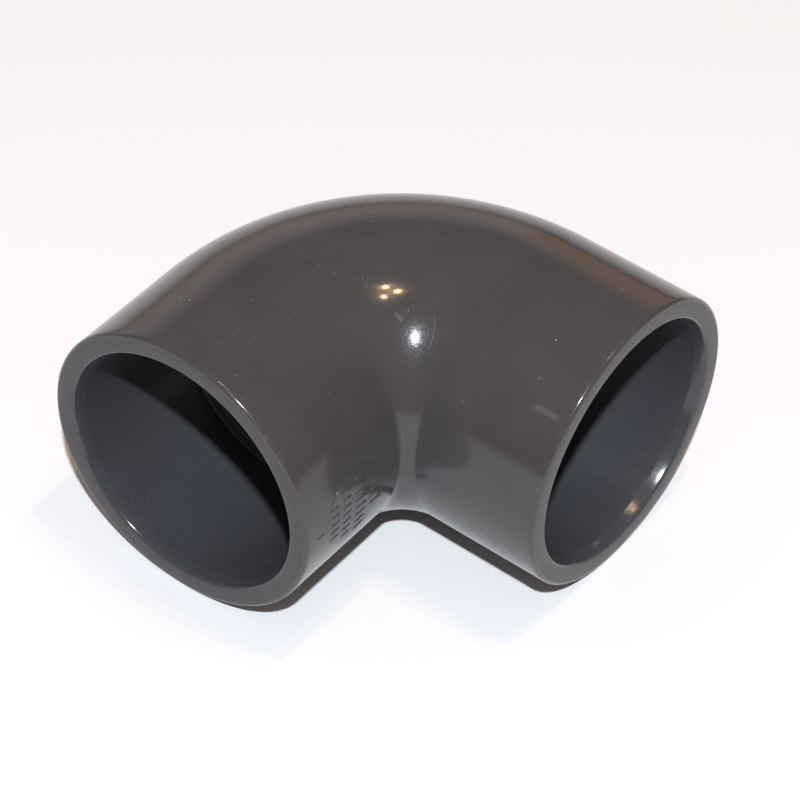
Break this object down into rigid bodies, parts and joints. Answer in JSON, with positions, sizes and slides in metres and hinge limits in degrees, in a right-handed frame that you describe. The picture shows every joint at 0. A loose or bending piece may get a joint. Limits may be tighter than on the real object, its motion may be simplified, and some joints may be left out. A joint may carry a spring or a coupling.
{
  "type": "pipe elbow",
  "caption": "Right-angle elbow in grey rigid PVC with a plain pipe socket on each leg, for turning a glued pipe or conduit run through a corner.",
  "frame": {"origin": "centre of the bounding box on the surface that the elbow lies on", "axes": "+Z is the normal of the bend plane; the mouth of leg A opens towards -Y and the mouth of leg B towards +X"},
  "size_m": [0.089, 0.089, 0.06],
  "materials": {
    "pvc": "semi-gloss moulded dark grey PVC-U, matt on the mouth faces"
  },
  "bodies": {
    "root": {"elbow_body": "pvc"}
  },
  "joints": []
}
